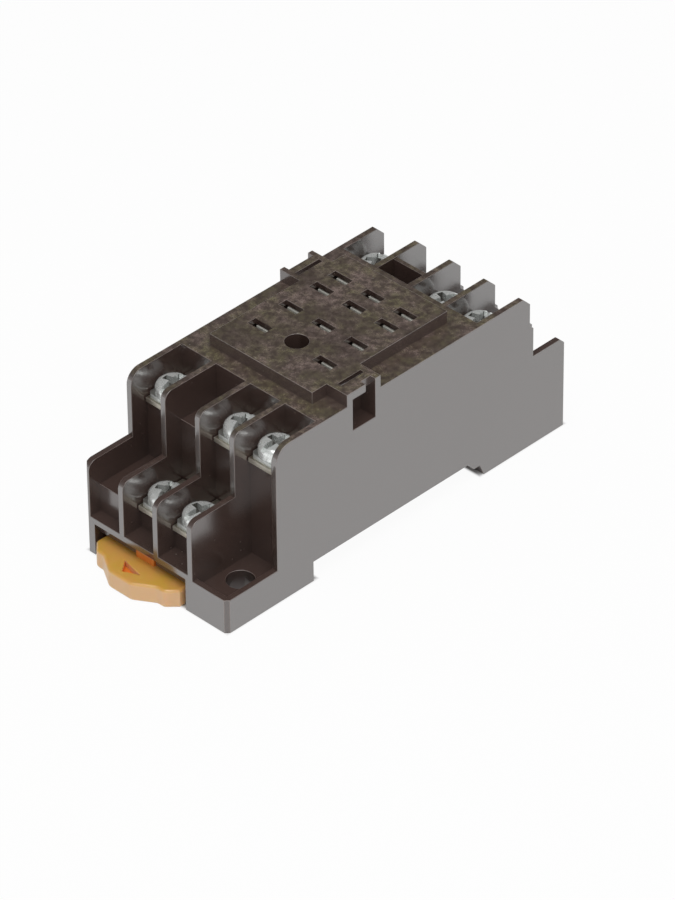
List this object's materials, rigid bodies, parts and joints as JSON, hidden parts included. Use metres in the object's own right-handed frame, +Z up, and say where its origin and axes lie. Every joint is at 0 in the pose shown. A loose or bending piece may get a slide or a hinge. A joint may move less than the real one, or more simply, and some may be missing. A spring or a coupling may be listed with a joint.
{
  "type": "relay socket",
  "caption": "Track-mounted relay socket with a two-tier dark housing, front screw terminals, a raised deck of blade slots and a sliding rail clip.",
  "frame": {"origin": "middle of the rail groove, on the housing's middle line, in the plane of the feet's underside", "axes": "+Z up out of the relay deck, +Y along the length away from the rail clip, +X across the width, along the rail"},
  "size_m": [0.0296, 0.0761, 0.0299],
  "materials": {
    "housing_plastic": "dark brown-black moulded plastic, satin to glossy, light scuffs",
    "base_plastic": "dark brown-black moulded plastic",
    "clip_plastic": "ochre moulded plastic, slightly translucent edges",
    "strip_metal": "nickel-plated brass strip",
    "contact_metal": "silver-plated spring bronze",
    "washer_metal": "zinc-plated steel",
    "screw_metal": "bright zinc-plated steel with a faint greenish passivation"
  },
  "bodies": {
    "socket_body": {"housing": "housing_plastic", "base_plate": "base_plastic", "terminal_strip_01": "strip_metal", "contact_01": "contact_metal", "terminal_strip_02": "strip_metal", "contact_02": "contact_metal", "terminal_strip_03": "strip_metal", "contact_03": "contact_metal", "terminal_strip_04": "strip_metal", "contact_04": "contact_metal", "terminal_strip_05": "strip_metal", "contact_05": "contact_metal", "terminal_strip_06": "strip_metal", "contact_06": "contact_metal", "terminal_strip_07": "strip_metal", "contact_07": "contact_metal", "terminal_strip_08": "strip_metal", "contact_08": "contact_metal", "terminal_strip_09": "strip_metal", "contact_09": "contact_metal", "terminal_strip_10": "strip_metal", "contact_10": "contact_metal", "terminal_strip_11": "strip_metal", "contact_11": "contact_metal"},
    "clip": {"rail_clip": "clip_plastic"},
    "clamp_01": {"clamp_washer_01": "washer_metal"},
    "screw_01": {"terminal_screw_01": "screw_metal"},
    "clamp_02": {"clamp_washer_02": "washer_metal"},
    "screw_02": {"terminal_screw_02": "screw_metal"},
    "clamp_03": {"clamp_washer_03": "washer_metal"},
    "screw_03": {"terminal_screw_03": "screw_metal"},
    "clamp_04": {"clamp_washer_04": "washer_metal"},
    "screw_04": {"terminal_screw_04": "screw_metal"},
    "clamp_05": {"clamp_washer_05": "washer_metal"},
    "screw_05": {"terminal_screw_05": "screw_metal"},
    "clamp_06": {"clamp_washer_06": "washer_metal"},
    "screw_06": {"terminal_screw_06": "screw_metal"},
    "clamp_07": {"clamp_washer_07": "washer_metal"},
    "screw_07": {"terminal_screw_07": "screw_metal"},
    "clamp_08": {"clamp_washer_08": "washer_metal"},
    "screw_08": {"terminal_screw_08": "screw_metal"},
    "clamp_09": {"clamp_washer_09": "washer_metal"},
    "screw_09": {"terminal_screw_09": "screw_metal"},
    "clamp_10": {"clamp_washer_10": "washer_metal"},
    "screw_10": {"terminal_screw_10": "screw_metal"},
    "clamp_11": {"clamp_washer_11": "washer_metal"},
    "screw_11": {"terminal_screw_11": "screw_metal"}
  },
  "joints": [
    {"name": "clip_slide", "type": "slide", "parent": "socket_body", "child": "clip", "axis": [0, -1, 0], "range_m": [0, 0.003], "stiffness_N_per_m": 1500, "springref_m": -0.002},
    {"name": "clamp_01_lift", "type": "slide", "parent": "socket_body", "child": "clamp_01", "axis": [0, 0, 1], "range_m": [0, 0.003]},
    {"name": "screw_01_turn", "type": "hinge", "parent": "clamp_01", "child": "screw_01", "pos_m": [-0.00356, -0.02955, 0.01095], "axis": [0, 0, 1], "range_deg": [0, 2160.5]},
    {"name": "clamp_02_lift", "type": "slide", "parent": "socket_body", "child": "clamp_02", "axis": [0, 0, 1], "range_m": [0, 0.003]},
    {"name": "screw_02_turn", "type": "hinge", "parent": "clamp_02", "child": "screw_02", "pos_m": [0.00356, -0.02955, 0.01095], "axis": [0, 0, 1], "range_deg": [0, 2160.5]},
    {"name": "clamp_03_lift", "type": "slide", "parent": "socket_body", "child": "clamp_03", "axis": [0, 0, 1], "range_m": [0, 0.003]},
    {"name": "screw_03_turn", "type": "hinge", "parent": "clamp_03", "child": "screw_03", "pos_m": [-0.01069, -0.0208, 0.02235], "axis": [0, 0, 1], "range_deg": [0, 2160.5]},
    {"name": "clamp_04_lift", "type": "slide", "parent": "socket_body", "child": "clamp_04", "axis": [0, 0, 1], "range_m": [0, 0.003]},
    {"name": "screw_04_turn", "type": "hinge", "parent": "clamp_04", "child": "screw_04", "pos_m": [0.00356, -0.0208, 0.02235], "axis": [0, 0, 1], "range_deg": [0, 2160.5]},
    {"name": "clamp_05_lift", "type": "slide", "parent": "socket_body", "child": "clamp_05", "axis": [0, 0, 1], "range_m": [0, 0.003]},
    {"name": "screw_05_turn", "type": "hinge", "parent": "clamp_05", "child": "screw_05", "pos_m": [0.01069, -0.0208, 0.02235], "axis": [0, 0, 1], "range_deg": [0, 2160.5]},
    {"name": "clamp_06_lift", "type": "slide", "parent": "socket_body", "child": "clamp_06", "axis": [0, 0, 1], "range_m": [0, 0.003]},
    {"name": "screw_06_turn", "type": "hinge", "parent": "clamp_06", "child": "screw_06", "pos_m": [-0.01069, 0.0217, 0.02235], "axis": [0, 0, 1], "range_deg": [0, 2160.5]},
    {"name": "clamp_07_lift", "type": "slide", "parent": "socket_body", "child": "clamp_07", "axis": [0, 0, 1], "range_m": [0, 0.003]},
    {"name": "screw_07_turn", "type": "hinge", "parent": "clamp_07", "child": "screw_07", "pos_m": [0.00356, 0.0217, 0.02235], "axis": [0, 0, 1], "range_deg": [0, 2160.5]},
    {"name": "clamp_08_lift", "type": "slide", "parent": "socket_body", "child": "clamp_08", "axis": [0, 0, 1], "range_m": [0, 0.003]},
    {"name": "screw_08_turn", "type": "hinge", "parent": "clamp_08", "child": "screw_08", "pos_m": [0.01069, 0.0217, 0.02235], "axis": [0, 0, 1], "range_deg": [0, 2160.5]},
    {"name": "clamp_09_lift", "type": "slide", "parent": "socket_body", "child": "clamp_09", "axis": [0, 0, 1], "range_m": [0, 0.003]},
    {"name": "screw_09_turn", "type": "hinge", "parent": "clamp_09", "child": "screw_09", "pos_m": [-0.00356, 0.03045, 0.01095], "axis": [0, 0, 1], "range_deg": [0, 2160.5]},
    {"name": "clamp_10_lift", "type": "slide", "parent": "socket_body", "child": "clamp_10", "axis": [0, 0, 1], "range_m": [0, 0.003]},
    {"name": "screw_10_turn", "type": "hinge", "parent": "clamp_10", "child": "screw_10", "pos_m": [0.00356, 0.03045, 0.01095], "axis": [0, 0, 1], "range_deg": [0, 2160.5]},
    {"name": "clamp_11_lift", "type": "slide", "parent": "socket_body", "child": "clamp_11", "axis": [0, 0, 1], "range_m": [0, 0.003]},
    {"name": "screw_11_turn", "type": "hinge", "parent": "clamp_11", "child": "screw_11", "pos_m": [0.01069, 0.03045, 0.01095], "axis": [0, 0, 1], "range_deg": [0, 2160.5]}
  ],
  "couplings": [
    {"joint": "screw_01_turn", "follows": "clamp_01_lift", "rad_per_m": 12566},
    {"joint": "screw_02_turn", "follows": "clamp_02_lift", "rad_per_m": 12566},
    {"joint": "screw_03_turn", "follows": "clamp_03_lift", "rad_per_m": 12566},
    {"joint": "screw_04_turn", "follows": "clamp_04_lift", "rad_per_m": 12566},
    {"joint": "screw_05_turn", "follows": "clamp_05_lift", "rad_per_m": 12566},
    {"joint": "screw_06_turn", "follows": "clamp_06_lift", "rad_per_m": 12566},
    {"joint": "screw_07_turn", "follows": "clamp_07_lift", "rad_per_m": 12566},
    {"joint": "screw_08_turn", "follows": "clamp_08_lift", "rad_per_m": 12566},
    {"joint": "screw_09_turn", "follows": "clamp_09_lift", "rad_per_m": 12566},
    {"joint": "screw_10_turn", "follows": "clamp_10_lift", "rad_per_m": 12566},
    {"joint": "screw_11_turn", "follows": "clamp_11_lift", "rad_per_m": 12566}
  ]
}
